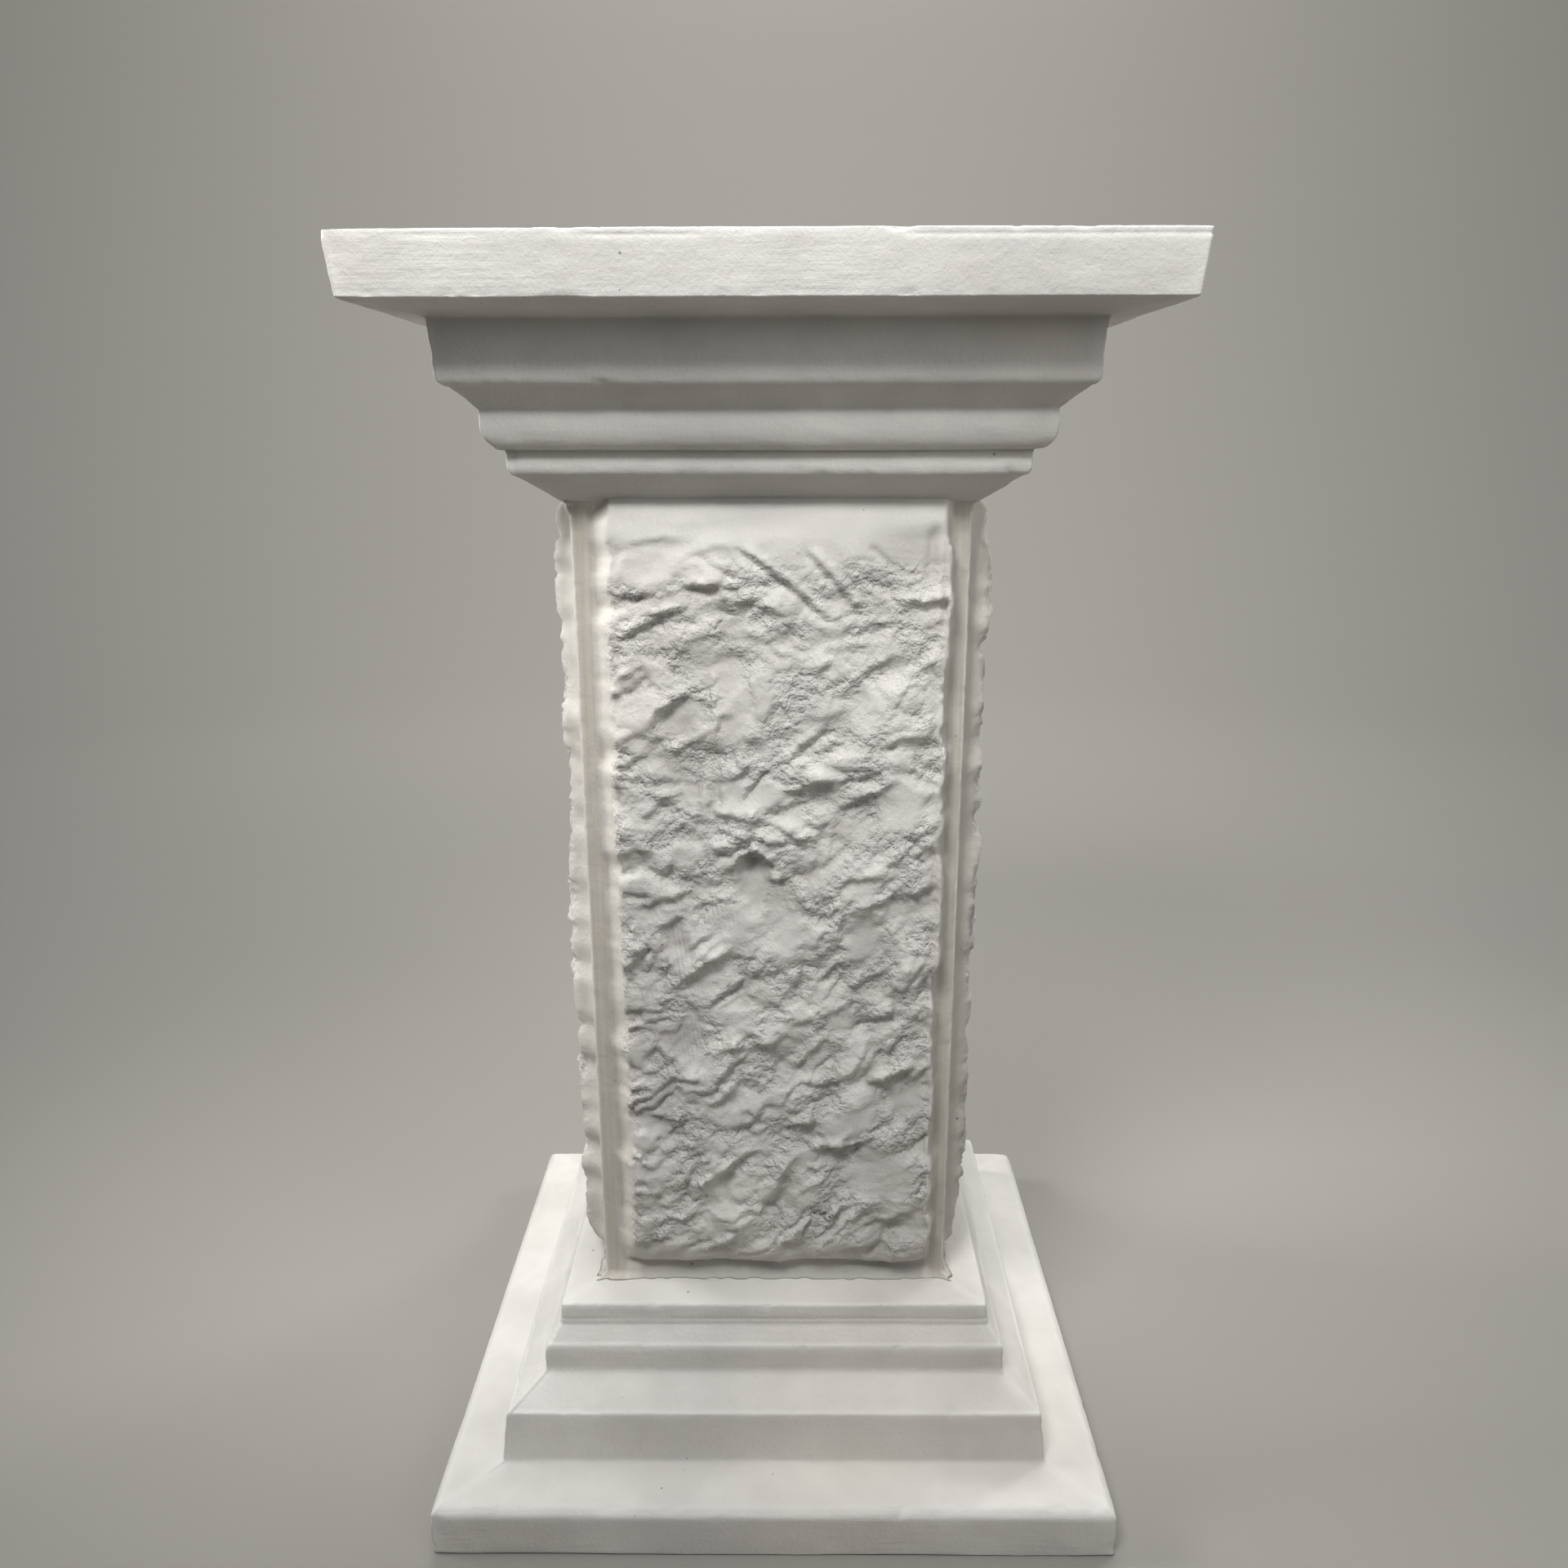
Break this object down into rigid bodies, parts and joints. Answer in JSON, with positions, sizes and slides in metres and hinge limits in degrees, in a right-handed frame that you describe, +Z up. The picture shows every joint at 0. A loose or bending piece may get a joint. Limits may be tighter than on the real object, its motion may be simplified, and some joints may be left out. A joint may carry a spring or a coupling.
{
  "type": "art deco column pedestal",
  "caption": "Square plaster pedestal column: stepped base, shaft with rough hewn panels between smooth corner margins, stepped capital under a wide flat slab.",
  "frame": {"origin": "middle of the underside of the foot slab, on the surface the column stands on", "axes": "+Z up along the column, -Y out of the front panel, +X to the right seen from the front"},
  "size_m": [0.5, 0.5, 0.9035],
  "materials": {
    "base": "matte white gypsum plaster, wiped smooth, with brush marks, pinholes and worn arrises",
    "shaft": "matte white gypsum plaster, rough hewn panels with comb marks and scratches between smooth margins",
    "capital": "matte white gypsum plaster, wiped smooth, with brush marks, pinholes and worn arrises"
  },
  "bodies": {
    "root": {"base": "base", "shaft": "shaft", "capital": "capital"}
  },
  "joints": []
}
